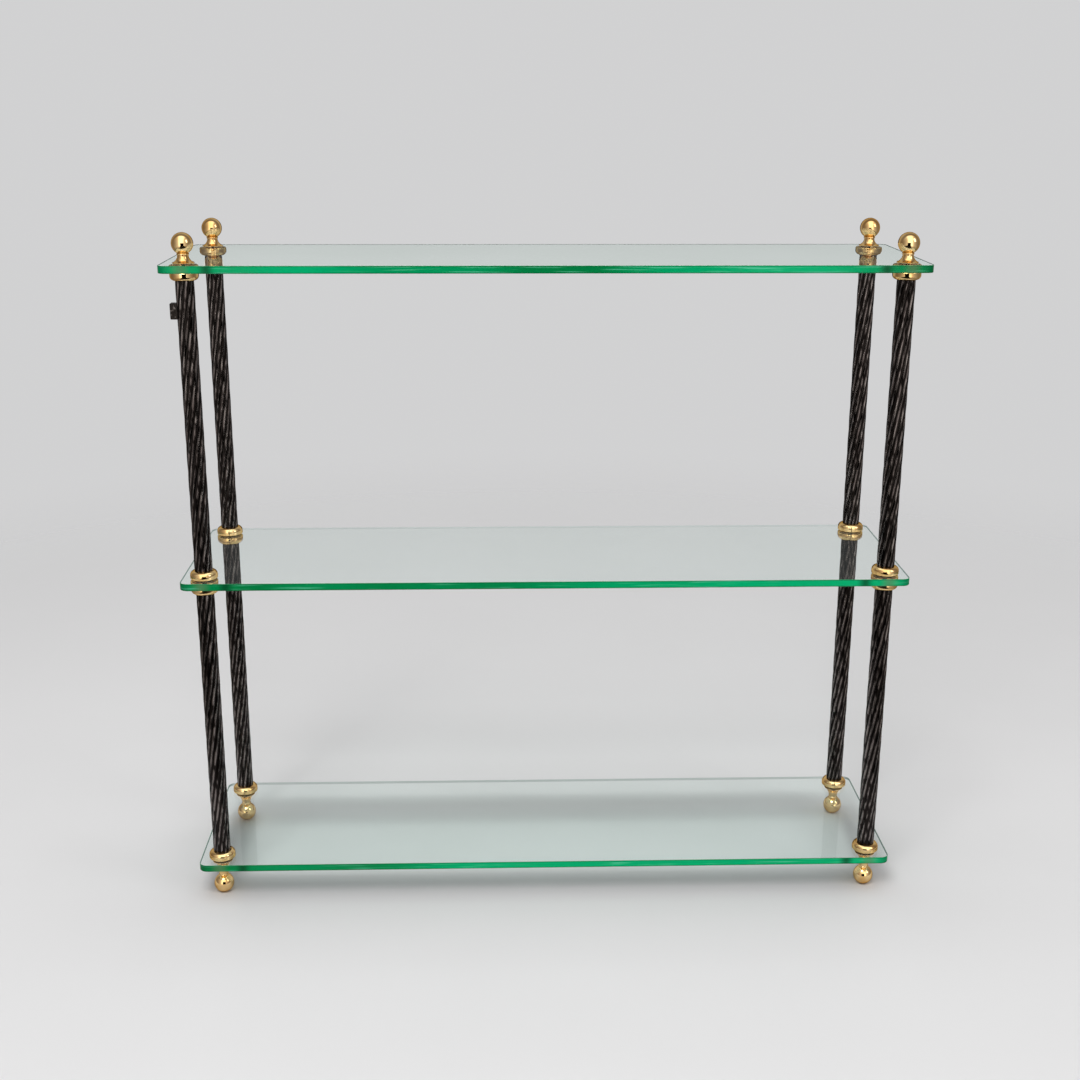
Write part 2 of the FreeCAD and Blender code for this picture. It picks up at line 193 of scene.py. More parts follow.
class StageLook(bpy.types.PropertyGroup):
    """Camera, floor and light"""
    camera_place: location("Camera", "Where the camera stands", (-0.04136, -1.24081, 0.68049))
    camera_pitch: angle("Pitch", "How far the camera looks down", 0.29695)
    camera_yaw: angle("Yaw", "How far the camera turns to the left", -0.0303)
    camera_roll: angle("Roll", "How far the camera leans", 0.0026)
    camera_lens: FloatProperty(name="Lens", description="Focal length in mm on a 36 mm frame", default=49.94)
    floor: colour("Floor", "Plain pale floor", (0.78, 0.775, 0.775))
    floor_near: length("Floor near", "Distance from the part at which the floor starts to fade", 700)
    floor_far: length("Floor far", "Distance from the part at which the floor has faded away", 1600)
    shine_near: length("Shine near", "Distance at which the mirrored floor starts to darken", 350)
    shine_far: length("Shine far", "Distance at which the mirrored floor is dark", 700)
    backdrop: colour("Backdrop", "Pale surroundings behind the part", (0.64, 0.64, 0.645))
    slant_backdrop: colour("Slant backdrop", "Backdrop seen through glass at a low slant", (1, 1, 1))
    room: colour("Room", "Dimmer surroundings on the camera's side", (0.20, 0.20, 0.205))
    shine_middle: colour("Middle shine", "What is mirrored round the camera", (2.0, 2.0, 1.9), most=2)
    shine_front: colour("Front shine", "What is mirrored on the camera's side", (0.80, 0.75, 0.72))
    shine_sides: colour("Side shine", "What is mirrored to the left and right", (0.48, 0.44, 0.42))
    shine_rims: colour("Rim shine", "What is mirrored straight to the left and right", (0.24, 0.215, 0.20))
    shine_rear: colour("Rear shine", "What is mirrored high behind the part", (0.55, 0.55, 0.55))
    shine_low: colour("Low shine", "What is mirrored low behind the part", (0.06, 0.055, 0.05))
    shine_floor: colour("Floor shine", "What is mirrored of the floor away from the part", (0.30, 0.27, 0.24))
    flag: colour("Flag", "Dark card under the camera, mirrored as a dark spot", (0.004, 0.003, 0.002))
    flag_width: length("Flag width", "Width of the dark card and of the dark strip of floor before it", 860)
    flag_height: length("Flag height", "Height of the dark card", 720)
    flag_offset: length("Flag offset", "How far the dark card stands behind the camera", 150)
    key_place: location("Key lamp", "Place of the large soft lamp at the front left", (-0.4, -1.3, 2.0))
    key_width: length("Key width", "Width of that lamp", 900)
    key_depth: length("Key depth", "Depth of that lamp", 900)
    key_power: power("Key power", "Power of that lamp", 22)
    side_place: location("Side lamp", "Place of the soft lamp at the front right", (1.7, -1.1, 1.5))
    side_width: length("Side width", "Width of that lamp", 700)
    side_depth: length("Side depth", "Depth of that lamp", 1100)
    side_power: power("Side power", "Power of that lamp", 6)
    top_place: location("Top lamp", "Place of the large soft lamp overhead", (0.0, 0.0, 2.4))
    top_width: length("Top width", "Width of that lamp", 2200)
    top_depth: length("Top depth", "Depth of that lamp", 1600)
    top_power: power("Top power", "Power of that lamp", 14)


def opaque(red_green_blue):
    return (*red_green_blue, 1)


def feed(tree, socket, value):
    """Links a socket to the one that feeds it, or gives it a value or a plain colour."""
    if isinstance(value, bpy.types.NodeSocket):
        tree.links.new(value, socket)
    elif socket.type == "RGBA":
        socket.default_value = opaque(value)
    else:
        socket.default_value = value


def add_node(tree, kind, inputs=None, **settings):
    """Adds a node, with each input given as a value or as the socket that feeds it."""
    node = tree.nodes.new(kind)
    for name, value in settings.items():
        setattr(node, name, value)
    for name, value in (inputs or {}).items():
        feed(tree, node.inputs[name], value)
    return node


def new_tree(name):
    """A new material and its empty node tree."""
    material = bpy.data.materials.new(name)
    material.use_nodes = True
    material.node_tree.nodes.clear()
    return material, material.node_tree


def show(tree, shader):
    add_node(tree, "ShaderNodeOutputMaterial", {"Surface": shader})


def object_place(tree, scale=(1, 1, 1)):
    """Object coordinates in metres, stretched by scale."""
    place = add_node(tree, "ShaderNodeTexCoord").outputs["Object"]
    return add_node(tree, "ShaderNodeMapping", {"Vector": place, "Scale": scale}).outputs["Vector"]


def parts_of(tree, vector):
    """The X, Y and Z parts of a vector."""
    return add_node(tree, "ShaderNodeSeparateXYZ", {"Vector": vector}).outputs


def noise(tree, place, scale, detail=2.0):
    node = add_node(tree, "ShaderNodeTexNoise", {"Vector": place, "Scale": scale, "Detail": detail})
    return node.outputs["Fac"]


def ramp(tree, factor, *stops):
    """Colours along a factor, from stops of (position, colour)."""
    node = add_node(tree, "ShaderNodeValToRGB", {"Fac": factor})
    elements = node.color_ramp.elements
    while len(elements) < len(stops):
        elements.new(1)
    for element, (position, red_green_blue) in zip(elements, stops):
        element.position = position
        element.color = opaque(red_green_blue)
    return node.outputs["Color"]


def spread(tree, value, between, gives=(0, 1)):
    """Turns a value between two limits smoothly into one between what those limits give."""
    low, high = between
    at_low, at_high = gives
    return add_node(tree, "ShaderNodeMapRange", {
        "Value": value, "From Min": low, "From Max": high, "To Min": at_low, "To Max": at_high,
    }, interpolation_type="SMOOTHSTEP").outputs["Result"]


def calculate(tree, operation, first, second=0.0):
    """One step of arithmetic with values or sockets."""
    return add_node(tree, "ShaderNodeMath", {0: first, 1: second}, operation=operation).outputs["Value"]


def mixed_colour(tree, factor, first, second):
    node = add_node(tree, "ShaderNodeMix", {"Factor": factor, MIX_FIRST: first, MIX_SECOND: second},
                    data_type="RGBA")
    return node.outputs[MIX_RESULT]


def principled(tree, inputs):
    return add_node(tree, "ShaderNodeBsdfPrincipled", inputs).outputs["BSDF"]


def transparent(tree, tint=(1, 1, 1)):
    return add_node(tree, "ShaderNodeBsdfTransparent", {"Color": tint}).outputs["BSDF"]


def blend(tree, factor, first, second):
    """A shader that goes from the first to the second one with a factor."""
    return add_node(tree, "ShaderNodeMixShader", {"Fac": factor, 1: first, 2: second}).outputs["Shader"]


def back_of_face(tree):
    """1 on the back of a face, as seen from inside the glass or from under the floor."""
    return add_node(tree, "ShaderNodeNewGeometry").outputs["Backfacing"]


def light_path(tree):
    return add_node(tree, "ShaderNodeLightPath").outputs


def mirrored(tree):
    """1 for what a shiny surface mirrors, and 0 for what is seen straight on or through glass."""
    path = light_path(tree)
    reflected = calculate(tree, "SUBTRACT", 1.0, path["Is Transmission Ray"])
    return calculate(tree, "MULTIPLY", path["Is Glossy Ray"], reflected)


def border_shade(tree, look, place):
    """What a shelf lets through of the lamps' light: little in the border along its edges."""
    parts = parts_of(tree, place)
    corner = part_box("bottom_shelf")[1]
    from_end = calculate(tree, "SUBTRACT", corner.x, calculate(tree, "ABSOLUTE", parts["X"]))
    from_side = calculate(tree, "SUBTRACT", corner.y, calculate(tree, "ABSOLUTE", parts["Y"]))
    from_edge = calculate(tree, "MINIMUM", from_end, from_side)
    inwards = spread(tree, from_edge, between=(0.5 * look.gather_width, look.gather_width))
    return mixed_colour(tree, inwards, look.shade_near_edge, look.shade)


def clear_glass(look):
    """Clear float glass with faint smears, which mirrors less at a low slant and nothing inside."""
    material, tree = new_tree("clear_float_glass")
    place = object_place(tree)
    paler = [min(1, 1.03 * part) for part in look.tint]
    tint = ramp(tree, noise(tree, place, scale=7), (0.3, look.tint), (0.8, paler))
    smears = spread(tree, noise(tree, place, scale=40, detail=4), between=(0.5, 0.75), gives=(0, 0.03))
    glass = principled(tree, {
        "Base Color": tint, "Roughness": smears, "Transmission Weight": 0.96, "IOR": GLASS_IOR})
    unmirrored = add_node(tree, "ShaderNodeBsdfRefraction", {
        "Color": tint, "Roughness": smears, "IOR": GLASS_IOR}).outputs["BSDF"]
    slant = add_node(tree, "ShaderNodeLayerWeight").outputs["Facing"]
    calm = spread(tree, slant, between=(0.6, 0.9), gives=(0, 0.25))
    seen = blend(tree, calculate(tree, "MAXIMUM", calm, back_of_face(tree)), glass, unmirrored)
    path = light_path(tree)
    lighting = calculate(tree, "MAXIMUM", path["Is Shadow Ray"], path["Is Diffuse Ray"])
    show(tree, blend(tree, lighting, seen, transparent(tree, border_shade(tree, look, place))))
    return material


def one_sided(tree, look, outside, inside_colour):
    """A painted edge from outside, nearly clear from inside the glass and darker there at its ends."""
    sideways = calculate(tree, "ABSOLUTE", parts_of(tree, object_place(tree))["X"])
    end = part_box("bottom_shelf")[1].x
    at_end = spread(tree, sideways, between=(end - look.corner_radius, end))
    inside = transparent(tree, mixed_colour(tree, at_end, inside_colour, look.end_inside))
    show(tree, blend(tree, back_of_face(tree), outside, inside))


def edge_painted_light_places(tree, look, place, post):
    """How far a place on an edge is at its rims, at its ends, in a patch by a post and before a post: the
    masks for painted shade and for the painted reflection of a post.
    """
    parts = parts_of(tree, place)
    low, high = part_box("bottom_shelf")
    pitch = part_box("middle_shelf")[0].z - low.z
    half = (high.z - low.z) / 2
    above_low = calculate(tree, "FLOORED_MODULO", calculate(tree, "SUBTRACT", parts["Z"], low.z), pitch)
    off_middle = calculate(tree, "ABSOLUTE", calculate(tree, "SUBTRACT", above_low, half))
    rims = spread(tree, off_middle, between=(0.55 * half, 0.9 * half), gives=(0, 0.55))
    sideways = calculate(tree, "ABSOLUTE", parts["X"])
    ends = spread(tree, sideways, between=(high.x - 2 * look.corner_radius, high.x), gives=(0, 0.6))
    off_post = calculate(tree, "SUBTRACT", sideways, abs(post.x))
    off_patch = calculate(tree, "ABSOLUTE", calculate(tree, "ADD", off_post, look.patch_offset))
    # Painted shade: a dark patch in the edge beside each post.
    patches = spread(tree, off_patch, between=(0, look.patch_width), gives=(0.8, 0))
    # Painted reflection: where the post's brass and rod are painted into the edge.
    from_post = calculate(tree, "ABSOLUTE", off_post)
    painted_glimpses = spread(tree, from_post, between=(0, look.painted_glimpse_width), gives=(0.5, 0))
    return rims, ends, patches, painted_glimpses


def green_edge(look, post):
    """Polished edge: green with painted light and shade, brighter and dimmer in stretches along the shelf,
    with painted glints, painted shade at its rims, ends and beside the posts, and a painted reflection of
    each post.
    """
    material, tree = new_tree("polished_green_edge")
    place = object_place(tree)
    # Painted light: stretches of brighter and dimmer green along the edge.
    painted_light_waves = noise(tree, object_place(tree, (1, 1, 0.4)), scale=4.5, detail=1)
    # Painted highlights: pale glint lines along the edge.
    lines = noise(tree, object_place(tree, (22, 22, 900)), scale=1, detail=2)
    painted_glints = spread(tree, lines, between=(0.56, 0.72), gives=(0, 0.55))
    base = ramp(tree, painted_light_waves, (0.36, look.edge_painted_dim), (0.58, look.edge_painted_bright))
    base = mixed_colour(tree, painted_glints, base, look.edge_painted_glint)
    # Painted shade: darker green at the edge's rims, at its ends and beside the posts.
    *painted_shade_places, painted_glimpses = edge_painted_light_places(tree, look, place, post)
    for painted_shade_place in painted_shade_places:
        base = mixed_colour(tree, painted_shade_place, base, look.edge_painted_shade)
    # Painted reflection of the post in the edge in front of it.
    base = mixed_colour(tree, painted_glimpses, base, look.painted_post_glimpse)
    roughness = spread(tree, noise(tree, place, scale=120), between=(0.4, 0.7), gives=(0.12, 0.22))
    paint = principled(tree, {"Base Color": base, "Roughness": roughness, "Specular IOR Level": 0.06})
    one_sided(tree, look, paint, look.edge_inside)
    return material


def ground_arris(look):
    """Fine ground bevel that catches the light along both sides of a polished edge."""
    material, tree = new_tree("ground_arris")
    grain = noise(tree, object_place(tree), scale=900, detail=1)
    darker = [0.8 * part for part in look.arris]
    base = ramp(tree, grain, (0.3, darker), (0.7, look.arris))
    roughness = spread(tree, grain, between=(0.3, 0.7), gives=(0.3, 0.45))
    paint = principled(tree, {"Base Color": base, "Roughness": roughness, "Specular IOR Level": 0.4})
    one_sided(tree, look, paint, look.arris_inside)
    return material


def lacquered_brass(look):
    """Polished and lacquered brass: bright gold with duller patches and fine rings left by the lathe."""
    material, tree = new_tree("lacquered_brass")
    patches = noise(tree, object_place(tree), scale=90, detail=1)
    rings = noise(tree, object_place(tree, (20, 20, 3200)), scale=1, detail=1)
    show(tree, principled(tree, {
        "Base Color": ramp(tree, patches, (0.32, look.tarnish), (0.56, look.gold)),
        "Metallic": 1.0,
        "Roughness": spread(tree, rings, between=(0.3, 0.7), gives=(0.03, 0.07)),
        "Specular Tint": look.rim,
    }))
    return material


def shared_brass(look):
    """The brass that all turned pieces share."""
    return bpy.data.materials.get("lacquered_brass") or lacquered_brass(look)


def dark_patina(name, look, ridge_height):
    """Bronze-black metal, rubbed where ridge_height is 1 and darkest where it is 0."""
    material, tree = new_tree(name)
    streaks = noise(tree, object_place(tree, (1, 1, 0.25)), scale=420, detail=3)
    wear = spread(tree, streaks, between=(0.35, 0.62), gives=(0.1, 1))
    rubbed = calculate(tree, "MULTIPLY", ridge_height(tree), wear)
    bump = add_node(tree, "ShaderNodeBump", {"Height": streaks, "Strength": 0.15, "Distance": 0.0002})
    show(tree, principled(tree, {
        "Base Color": ramp(tree, rubbed, (0.15, look.flute), (0.9, look.ridge)),
        "Metallic": 0.95,
        "Roughness": spread(tree, streaks, between=(0.3, 0.7), gives=(0.16, 0.3)),
        "Normal": bump.outputs["Normal"],
    }))
    return material


def flute_height(tree):
    """0 at the bottom of a flute and 1 on a ridge, stored on the columns' points."""
    return add_node(tree, "ShaderNodeAttribute", attribute_name="flute_height").outputs["Fac"]


def even_height(tree):
    """Patches of wear for a surface without flutes."""
    patches = noise(tree, object_place(tree), scale=300, detail=3)
    return spread(tree, patches, between=(0.45, 0.75), gives=(0.1, 0.7))


def drawn_steel(look):
    """Plain rod with fine lines along it."""
    material, tree = new_tree("drawn_steel")
    lines = noise(tree, object_place(tree, (2500, 2500, 12)), scale=1, detail=2)
    base = ramp(tree, lines, (0.3, look.steel_dark), (0.7, look.steel_light))
    roughness = spread(tree, lines, between=(0.3, 0.7), gives=(0.25, 0.42))
    show(tree, principled(tree, {"Base Color": base, "Metallic": 1.0, "Roughness": roughness}))
    return material


def thin_pad(look):
    """Nearly clear plastic washers with a faint milky mottle."""
    material, tree = new_tree("thin_pad")
    mottle = noise(tree, object_place(tree), scale=700, detail=3)
    base = ramp(tree, mottle, (0.35, look.pad_dark), (0.65, look.pad_light))
    roughness = spread(tree, mottle, between=(0.3, 0.7), gives=(0.4, 0.55))
    milk = principled(tree, {"Base Color": base, "Roughness": roughness})
    show(tree, blend(tree, look.pad_clearness, milk, transparent(tree)))
    return material


def pale_floor(look):
    """Plain floor that fades into the backdrop away from the part and is clear from below.

    Shiny surfaces mirror it brown away from the part and black in a strip towards the camera.
    """
    material, tree = new_tree("pale_floor")
    place = object_place(tree)
    duller = [0.985 * part for part in look.floor]
    base = ramp(tree, noise(tree, place, scale=5, detail=4), (0.3, duller), (0.7, look.floor))
    away = add_node(tree, "ShaderNodeVectorMath", {0: place}, operation="LENGTH").outputs["Value"]
    far = spread(tree, away, between=(look.shine_near, look.shine_far))
    in_shine = mirrored(tree)
    brown = calculate(tree, "MULTIPLY", in_shine, far)
    parts = parts_of(tree, place)
    off_strip = calculate(tree, "ABSOLUTE", calculate(tree, "SUBTRACT", parts["X"], look.camera_place.x))
    across = spread(tree, off_strip, between=(0.5 * look.flag_width, 0.7 * look.flag_width), gives=(1, 0))
    along = spread(tree, parts["Y"], between=(-look.shine_near, -0.7 * look.shine_near), gives=(1, 0))
    black = calculate(tree, "MULTIPLY", in_shine, calculate(tree, "MULTIPLY", across, along))
    base = mixed_colour(tree, brown, base, look.shine_floor)
    base = mixed_colour(tree, black, base, look.flag)
    floor = principled(tree, {"Base Color": base, "Roughness": 0.6, "Specular IOR Level": 0.2})
    fade = spread(tree, away, between=(look.floor_near, look.floor_far))
    fade = calculate(tree, "MULTIPLY", fade, calculate(tree, "SUBTRACT", 1.0, black))
    unseen = calculate(tree, "MAXIMUM", fade, back_of_face(tree))
    show(tree, blend(tree, unseen, floor, transparent(tree)))
    return material


def dark_card(look):
    """Dull black cloth."""
    material, tree = new_tree("dark_card")
    darker = [0.7 * part for part in look.flag]
    cloth = ramp(tree, noise(tree, object_place(tree), scale=60), (0.3, darker), (0.7, look.flag))
    show(tree, principled(tree, {"Base Color": cloth, "Roughness": 0.9, "Specular IOR Level": 0.05}))
    return material


def post_axis(post):
    """A point on a post's axis, at floor level."""
    low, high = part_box(f"tie_rod_{post}")
    return Vector(((low.x + high.x) / 2, (low.y + high.y) / 2, 0))


def column_radius(node):
    """Radius of a column over its ridges, measured on its node's points."""
    centre = sum(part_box(node), Vector()) / 2
    return max((vert.co.xy - centre.xy).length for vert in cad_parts[node].data.vertices)


def new_object(name, bm, materials):
    """An object in the scene, made of a finished bmesh."""
    mesh = bpy.data.meshes.new(name)
    bm.to_mesh(mesh)
    bm.free()
    for material in materials:
        mesh.materials.append(material)
    thing = bpy.data.objects.new(name, mesh)
    bpy.context.scene.collection.objects.link(thing)
    return thing


def finish_piece(name, bm, node, materials):
    """Makes an object of a finished bmesh, standing for one node of the frame."""
    bmesh.ops.remove_doubles(bm, verts=bm.verts, dist=MERGE_DISTANCE)
    bmesh.ops.recalc_face_normals(bm, faces=bm.faces)
    piece = new_object(name, bm, materials)
    piece.data.shade_smooth()
    piece.data.set_sharp_from_angle(angle=SHARP_ANGLE)
    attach(piece, BODY)
    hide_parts(node)


def dress_nodes(start, material):
    """Gives a material to every node of the frame whose name starts so."""
    nodes = [node for name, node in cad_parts.items() if name.startswith(start)]
    if not nodes:
        raise RuntimeError(f"the frame has no node named {start}")
    for node in nodes:
        node.data.materials.clear()
        node.data.materials.append(material)


def bevelled(bm, edges, width, steps):
    """Bevels edges and gives the new faces."""
    return bmesh.ops.bevel(bm, geom=edges, offset=width, offset_type="OFFSET", affect="EDGES", segments=steps,
                           profile=0.5, material=-1)["faces"]


def arc(start, end, radius, turn, steps):
    """Points on a circular arc after start, up to end; turn is 1 for anticlockwise and -1 for clockwise."""
    start, end = Vector(start), Vector(end)
    chord = end - start
    half = chord.length / 2
    across = Vector((-chord.y, chord.x)).normalized()
    centre = start + chord / 2 + across * (turn * math.sqrt(max(0, radius * radius - half * half)))
    first = start - centre
    sweep = turn * (-turn * first.angle_signed(end - centre, 0) % math.tau)
    return [centre + Matrix.Rotation(sweep * step / steps, 2) @ first for step in range(1, steps + 1)]


def arc_radius(side_step, square_step):
    """Radius of the arc that starts square to side_step and ends side_step and square_step away."""
    return (side_step * side_step + square_step * square_step) / (2 * side_step)


def turned(profile, axis, height, on_head=False):
    """A bmesh of a closed profile of (radius, height) points, turned about an upright axis at a height."""
    bm = bmesh.new()
    verts = [bm.verts.new((point[0], 0, point[1])) for point in profile]
    edges = [bm.edges.new(pair) for pair in zip(verts, verts[1:])]
    bmesh.ops.spin(bm, geom=verts + edges, cent=(0, 0, 0), axis=(0, 0, 1), angle=math.tau, steps=TURNED_STEPS,
                   use_merge=True)
    bmesh.ops.remove_doubles(bm, verts=bm.verts, dist=MERGE_DISTANCE)
    if on_head:
        bmesh.ops.rotate(bm, verts=bm.verts, cent=(0, 0, 0), matrix=Matrix.Rotation(math.pi, 3, "X"))
    bmesh.ops.translate(bm, verts=bm.verts, vec=axis + Vector((0, 0, height)))
    return bm


def turned_ball(look, ball, neck, rise):
    """Profile of a finial or foot from its blind hole round the base, neck and bead to the ball."""
    hole = look.thread_hole / 2
    deep = look.thread_depth
    base = look.base / 2
    bead_top = rise - math.sqrt(ball * ball - neck * neck)
    bead_low = bead_top - look.bead_height
    flare_radius = arc_radius(base - neck, bead_low - look.lip)
    bead_radius = arc_radius(look.bead_bulge, look.bead_height / 2)
    flare = arc((base, look.lip), (neck, bead_low), flare_radius, -1, FLARE_STEPS)
    bead = arc((neck, bead_low), (neck, bead_top), bead_radius, 1, BEAD_STEPS)
    return [(0, deep), (hole, deep), (hole, 0), (base, 0), (base, look.lip), *flare, *bead]


class ETAGERE_OT_glass_shelves(bpy.types.Operator):
    """Build the three glass shelves with rounded corners and ground edges"""
    bl_idname = "etagere.glass_shelves"
    bl_label = "Glass shelves"

    face_slot, edge_slot, arris_slot = range(3)

    def shelf(self, look, low, high):
        """A bmesh of one shelf that fills a box."""
        bm = bmesh.new()
        bmesh.ops.create_cube(bm, size=1)
        bmesh.ops.scale(bm, verts=bm.verts, vec=high - low)
        bmesh.ops.translate(bm, verts=bm.verts, vec=(high + low) / 2)
        upright = [e for e in bm.edges if abs(e.verts[0].co.z - e.verts[1].co.z) > MERGE_DISTANCE]
        bevelled(bm, upright, look.corner_radius, CORNER_STEPS)
        for face in bm.faces:
            face.material_index = self.face_slot if abs(face.normal.z) > 0.5 else self.edge_slot
        rims = [e for e in bm.edges if len({face.material_index for face in e.link_faces}) == 2]
        for face in bevelled(bm, rims, look.arris_width, 1):
            face.material_index = self.arris_slot
        return bm

    def execute(self, context):
        look = context.scene.etagere_glass
        materials = [clear_glass(look), green_edge(look, post_axis("rear_right")), ground_arris(look)]
        for shelf in SHELVES:
            node = f"{shelf}_shelf"
            finish_piece(f"glass_{shelf}", self.shelf(look, *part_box(node)), node, materials)
        return {"FINISHED"}


class ETAGERE_OT_spiral_columns(bpy.types.Operator):
    """Build the eight columns: a fluted section screwed upwards round a plain bore"""
    bl_idname = "etagere.spiral_columns"
    bl_label = "Spiral columns"

    points_per_flute = 10
    steps = 80
    ridge_offset = 0.125  # share of a flute's width by which the first ridge lies off the X axis
    arris_softness = 1.25  # 1 leaves the ridges sharp

    def ring(self, bm, look, radius, level):
        """A circle with as many points as the fluted section has."""
        return bmesh.ops.create_circle(bm, segments=look.flute_count * self.points_per_flute, radius=radius,
                                       matrix=Matrix.Translation((0, 0, level)))["verts"]

    def fluted_section(self, bm, look, radius):
        """A circle drawn in at the flutes, with each point's height in its flute stored on it."""
        height = bm.verts.layers.float.new("flute_height")
        turn = math.tau / look.flute_count
        for vert in self.ring(bm, look, radius, 0):
            bearing = math.atan2(vert.co.y, vert.co.x)
            along = (bearing / turn - self.ridge_offset) % 1
            depth = math.sin(math.pi * along) ** self.arris_softness
            vert[height] = 1 - depth
            vert.co *= 1 - depth * look.flute_depth / radius

    def column(self, look, radius, tall):
        """A bmesh of one column that stands on the origin."""
        bm = bmesh.new()
        self.fluted_section(bm, look, radius)
        rims = list(bm.edges)
        screwed = bmesh.ops.spin(bm, geom=rims, cent=(0, 0, 0), axis=(0, 0, 1), steps=self.steps,
                                 angle=math.tau * tall / look.lead, dvec=(0, 0, tall / self.steps))
        rims += [item for item in screwed["geom_last"] if isinstance(item, bmesh.types.BMEdge)]
        known = set(bm.edges)
        bore = radius - look.flute_depth - look.wall
        for level in (0, tall):
            self.ring(bm, look, bore, level)
        bores = [edge for edge in bm.edges if edge not in known]
        bmesh.ops.bridge_loops(bm, edges=bores)
        for level in (0, tall):
            ends = [edge for edge in rims + bores
                    if all(abs(vert.co.z - level) < MERGE_DISTANCE for vert in edge.verts)]
            bmesh.ops.bridge_loops(bm, edges=ends)
        return bm

    def execute(self, context):
        look = context.scene.etagere_column
        material = dark_patina("dark_patina_columns", look, flute_height)
        for post in POSTS:
            for stretch in STRETCHES:
                node = f"{stretch}_column_{post}"
                low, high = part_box(node)
                bm = self.column(look, column_radius(node), high.z - low.z)
                bmesh.ops.translate(bm, verts=bm.verts, vec=post_axis(post) + Vector((0, 0, low.z)))
                finish_piece(f"column_{stretch}_{post}", bm, node, [material])
        return {"FINISHED"}


class ETAGERE_OT_cup_collars(bpy.types.Operator):
    """Turn the sixteen brass cup collars"""
    bl_idname = "etagere.cup_collars"
    bl_label = "Cup collars"

    def profile(self, look, rim, tall):
        """From the hole at the foot round the bowl and rim and back through the hole."""
        hole = look.rod_hole / 2
        foot = look.collar_foot / 2
        edge = look.collar_edge
        shoulder = look.collar_shoulder
        bowl = arc((foot, 0), (rim, shoulder), arc_radius(rim - foot, shoulder), 1, BOWL_STEPS)
        rounding = arc((rim, tall - edge), (rim - edge, tall), edge, 1, COLLAR_EDGE_STEPS)
        return [(hole, 0), (foot, 0), *bowl, (rim, tall - edge), *rounding, (hole, tall), (hole, 0)]

    def execute(self, context):
        look = context.scene.etagere_brass
        material = shared_brass(look)
        for post in POSTS:
            for place in COLLAR_PLACES:
                node = f"collar_{place}_{post}"
                low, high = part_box(node)
                profile = self.profile(look, (high.x - low.x) / 2, high.z - low.z)
                over = place.startswith("over")
                bm = turned(profile, post_axis(post), high.z if over else low.z, on_head=over)
                finish_piece(f"brass_collar_{place}_{post}", bm, node, [material])
        return {"FINISHED"}


class ETAGERE_OT_ball_finials(bpy.types.Operator):
    """Turn the four brass ball finials"""
    bl_idname = "etagere.ball_finials"
    bl_label = "Ball finials"

    def execute(self, context):
        look = context.scene.etagere_brass
        material = shared_brass(look)
        for post in POSTS:
            node = f"finial_{post}"
            low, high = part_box(node)
            ball = look.ball / 2
            rise = high.z - low.z - ball
            profile = turned_ball(look, ball, look.finial_neck / 2, rise)
            profile += arc(profile[-1], (0, rise + ball), ball, 1, BALL_STEPS)
            bm = turned(profile, post_axis(post), low.z)
            finish_piece(f"brass_finial_{post}", bm, node, [material])
        return {"FINISHED"}


class ETAGERE_OT_ball_feet(bpy.types.Operator):
    """Turn the four brass ball feet"""
    bl_idname = "etagere.ball_feet"
    bl_label = "Ball feet"

    def execute(self, context):
        look = context.scene.etagere_brass
        material = shared_brass(look)
        for post in POSTS:
            node = f"foot_{post}"
            low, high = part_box(node)
            ball = look.ball / 2
            flat = look.foot_flat / 2
            tall = high.z - low.z
            rise = tall - math.sqrt(ball * ball - flat * flat)
            profile = turned_ball(look, ball, look.foot_neck / 2, rise)
            profile += arc(profile[-1], (flat, tall), ball, 1, BALL_STEPS) + [(0, tall)]
            bm = turned(profile, post_axis(post), high.z, on_head=True)
            finish_piece(f"brass_foot_{post}", bm, node, [material])
        return {"FINISHED"}


class ETAGERE_OT_small_fittings(bpy.types.Operator):
    """Finish the lug, the tie rods and the washers of the frame"""
    bl_idname = "etagere.small_fittings"
    bl_label = "Small fittings"

    def execute(self, context):
        look = context.scene.etagere_fitting
        dress_nodes("side_lug", dark_patina("dark_patina_lug", context.scene.etagere_column, even_height))
        dress_nodes("tie_rod", drawn_steel(look))
        dress_nodes("washers", thin_pad(look))
        return {"FINISHED"}


